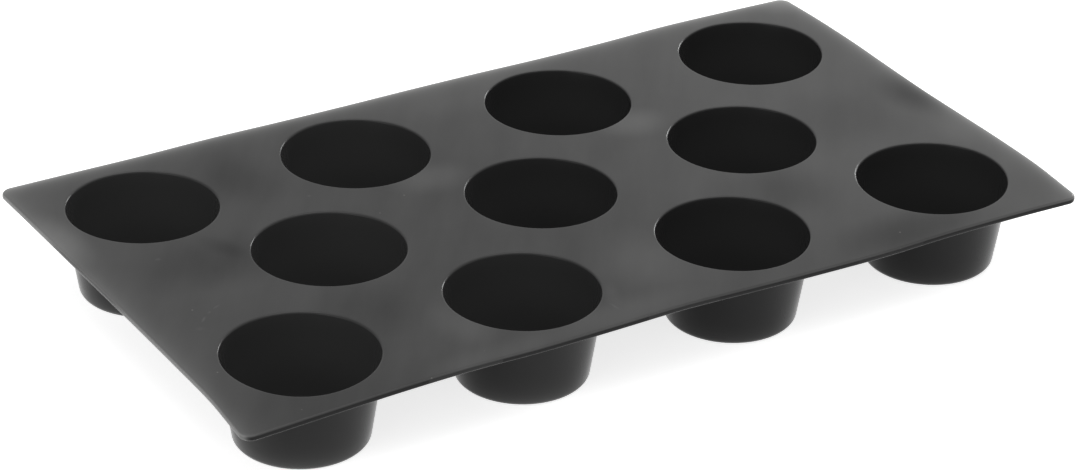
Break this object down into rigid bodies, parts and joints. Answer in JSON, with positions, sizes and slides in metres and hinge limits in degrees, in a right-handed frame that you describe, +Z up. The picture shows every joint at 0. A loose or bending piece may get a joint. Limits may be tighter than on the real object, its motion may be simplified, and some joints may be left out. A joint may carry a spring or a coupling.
{
  "type": "silicone mini muffin mould",
  "caption": "Flexible one-piece baking mould: a thin flat sheet with staggered rows of round, tapered, flat-bottomed cups hanging from it.",
  "frame": {"origin": "on the surface that the cups stand on, under the middle of the sheet, which is the centre of the middle cup's underside", "axes": "+X along the sheet's long side and the rows of cups, +Y across the rows, +Z up out of the mouths"},
  "size_m": [0.3, 0.17, 0.029],
  "materials": {
    "silicone": "satin dark grey food-grade silicone rubber, smooth, with a faint haze of dust and light scuffs"
  },
  "bodies": {
    "root": {"mould": "silicone"}
  },
  "joints": []
}
